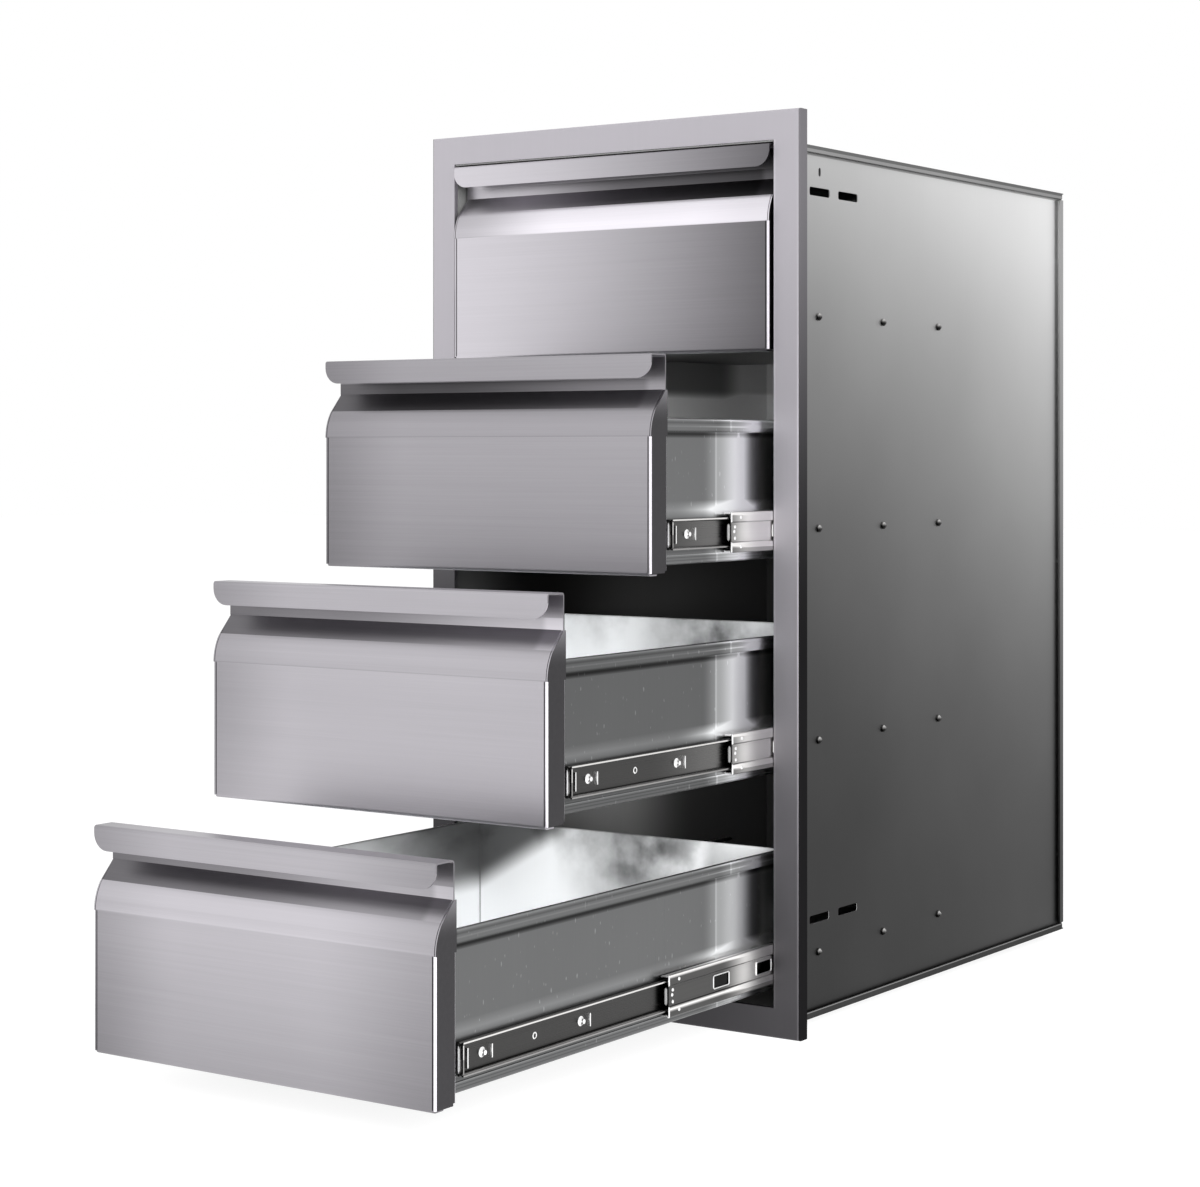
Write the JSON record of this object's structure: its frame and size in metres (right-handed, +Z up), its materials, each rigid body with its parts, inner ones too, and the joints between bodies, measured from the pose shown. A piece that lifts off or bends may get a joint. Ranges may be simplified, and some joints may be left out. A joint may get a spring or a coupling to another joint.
{
  "type": "outdoor kitchen drawer unit",
  "caption": "Built-in outdoor kitchen drawer unit: stainless face frame and sheet steel box with equal drawers on telescopic ball-bearing slides, standing open in steps.",
  "frame": {"origin": "middle of the bottom rail's rear lip, in the plane of the wall that the face frame lies on", "axes": "+X to the right seen from the front, +Y into the unit, +Z up"},
  "size_m": [0.406, 1.0593, 0.813],
  "materials": {
    "frame_steel": "brushed along the rails and stiles, satin",
    "front_steel": "horizontal brushed grain, satin",
    "panel_steel": "dull mill finish",
    "drawer_steel": "bright rolled finish, mirror-like at a low angle",
    "slide_steel": "bright zinc plated",
    "cage_steel": "dark plated strip with bright balls"
  },
  "bodies": {
    "cabinet": {"face_frame": "frame_steel", "side_panel_right": "panel_steel", "side_panel_left": "panel_steel", "top_panel": "panel_steel", "bottom_panel": "panel_steel", "back_panel": "panel_steel", "cabinet_member_1_right": "slide_steel", "cabinet_member_1_left": "slide_steel", "cabinet_member_2_right": "slide_steel", "cabinet_member_2_left": "slide_steel", "cabinet_member_3_right": "slide_steel", "cabinet_member_3_left": "slide_steel", "cabinet_member_4_right": "slide_steel", "cabinet_member_4_left": "slide_steel"},
    "drawer_1": {"drawer_front_1": "front_steel", "drawer_box_1": "drawer_steel", "drawer_member_1_right": "slide_steel", "drawer_member_1_left": "slide_steel"},
    "middle_slides_1": {"middle_member_1_right": "slide_steel", "middle_member_1_left": "slide_steel"},
    "outer_cages_1": {"outer_ball_cage_1_right": "cage_steel", "outer_ball_cage_1_left": "cage_steel"},
    "inner_cages_1": {"inner_ball_cage_1_right": "cage_steel", "inner_ball_cage_1_left": "cage_steel"},
    "drawer_2": {"drawer_front_2": "front_steel", "drawer_box_2": "drawer_steel", "drawer_member_2_right": "slide_steel", "drawer_member_2_left": "slide_steel"},
    "middle_slides_2": {"middle_member_2_right": "slide_steel", "middle_member_2_left": "slide_steel"},
    "outer_cages_2": {"outer_ball_cage_2_right": "cage_steel", "outer_ball_cage_2_left": "cage_steel"},
    "inner_cages_2": {"inner_ball_cage_2_right": "cage_steel", "inner_ball_cage_2_left": "cage_steel"},
    "drawer_3": {"drawer_front_3": "front_steel", "drawer_box_3": "drawer_steel", "drawer_member_3_right": "slide_steel", "drawer_member_3_left": "slide_steel"},
    "middle_slides_3": {"middle_member_3_right": "slide_steel", "middle_member_3_left": "slide_steel"},
    "outer_cages_3": {"outer_ball_cage_3_right": "cage_steel", "outer_ball_cage_3_left": "cage_steel"},
    "inner_cages_3": {"inner_ball_cage_3_right": "cage_steel", "inner_ball_cage_3_left": "cage_steel"},
    "drawer_4": {"drawer_front_4": "front_steel", "drawer_box_4": "drawer_steel", "drawer_member_4_right": "slide_steel", "drawer_member_4_left": "slide_steel"},
    "middle_slides_4": {"middle_member_4_right": "slide_steel", "middle_member_4_left": "slide_steel"},
    "outer_cages_4": {"outer_ball_cage_4_right": "cage_steel", "outer_ball_cage_4_left": "cage_steel"},
    "inner_cages_4": {"inner_ball_cage_4_right": "cage_steel", "inner_ball_cage_4_left": "cage_steel"}
  },
  "joints": [
    {"name": "drawer_1_slide", "type": "slide", "parent": "cabinet", "child": "drawer_1", "axis": [0, -1, 0], "range_m": [0, 0.476]},
    {"name": "middle_slides_1_travel", "type": "slide", "parent": "cabinet", "child": "middle_slides_1", "axis": [0, -1, 0], "range_m": [0, 0.2381]},
    {"name": "outer_cages_1_travel", "type": "slide", "parent": "cabinet", "child": "outer_cages_1", "axis": [0, -1, 0], "range_m": [0, 0.1191]},
    {"name": "inner_cages_1_travel", "type": "slide", "parent": "cabinet", "child": "inner_cages_1", "axis": [0, -1, 0], "range_m": [0, 0.3571]},
    {"name": "drawer_2_slide", "type": "slide", "parent": "cabinet", "child": "drawer_2", "axis": [0, -1, 0], "range_m": [-0.187, 0.289]},
    {"name": "middle_slides_2_travel", "type": "slide", "parent": "cabinet", "child": "middle_slides_2", "axis": [0, -1, 0], "range_m": [-0.0936, 0.1446]},
    {"name": "outer_cages_2_travel", "type": "slide", "parent": "cabinet", "child": "outer_cages_2", "axis": [0, -1, 0], "range_m": [-0.04685, 0.07235]},
    {"name": "inner_cages_2_travel", "type": "slide", "parent": "cabinet", "child": "inner_cages_2", "axis": [0, -1, 0], "range_m": [-0.14035, 0.21685]},
    {"name": "drawer_3_slide", "type": "slide", "parent": "cabinet", "child": "drawer_3", "axis": [0, -1, 0], "range_m": [-0.332, 0.144]},
    {"name": "middle_slides_3_travel", "type": "slide", "parent": "cabinet", "child": "middle_slides_3", "axis": [0, -1, 0], "range_m": [-0.1661, 0.0721]},
    {"name": "outer_cages_3_travel", "type": "slide", "parent": "cabinet", "child": "outer_cages_3", "axis": [0, -1, 0], "range_m": [-0.0831, 0.0361]},
    {"name": "inner_cages_3_travel", "type": "slide", "parent": "cabinet", "child": "inner_cages_3", "axis": [0, -1, 0], "range_m": [-0.2491, 0.1081]},
    {"name": "drawer_4_slide", "type": "slide", "parent": "cabinet", "child": "drawer_4", "axis": [0, -1, 0], "range_m": [-0.471, 0.005]},
    {"name": "middle_slides_4_travel", "type": "slide", "parent": "cabinet", "child": "middle_slides_4", "axis": [0, -1, 0], "range_m": [-0.2356, 0.0026]},
    {"name": "outer_cages_4_travel", "type": "slide", "parent": "cabinet", "child": "outer_cages_4", "axis": [0, -1, 0], "range_m": [-0.11785, 0.00135]},
    {"name": "inner_cages_4_travel", "type": "slide", "parent": "cabinet", "child": "inner_cages_4", "axis": [0, -1, 0], "range_m": [-0.35335, 0.00385]}
  ],
  "couplings": [
    {"joint": "middle_slides_1_travel", "follows": "drawer_1_slide", "ratio": 0.5},
    {"joint": "outer_cages_1_travel", "follows": "drawer_1_slide", "ratio": 0.25},
    {"joint": "inner_cages_1_travel", "follows": "drawer_1_slide", "ratio": 0.75},
    {"joint": "middle_slides_2_travel", "follows": "drawer_2_slide", "ratio": 0.5},
    {"joint": "outer_cages_2_travel", "follows": "drawer_2_slide", "ratio": 0.25},
    {"joint": "inner_cages_2_travel", "follows": "drawer_2_slide", "ratio": 0.75},
    {"joint": "middle_slides_3_travel", "follows": "drawer_3_slide", "ratio": 0.5},
    {"joint": "outer_cages_3_travel", "follows": "drawer_3_slide", "ratio": 0.25},
    {"joint": "inner_cages_3_travel", "follows": "drawer_3_slide", "ratio": 0.75},
    {"joint": "middle_slides_4_travel", "follows": "drawer_4_slide", "ratio": 0.5},
    {"joint": "outer_cages_4_travel", "follows": "drawer_4_slide", "ratio": 0.25},
    {"joint": "inner_cages_4_travel", "follows": "drawer_4_slide", "ratio": 0.75}
  ]
}
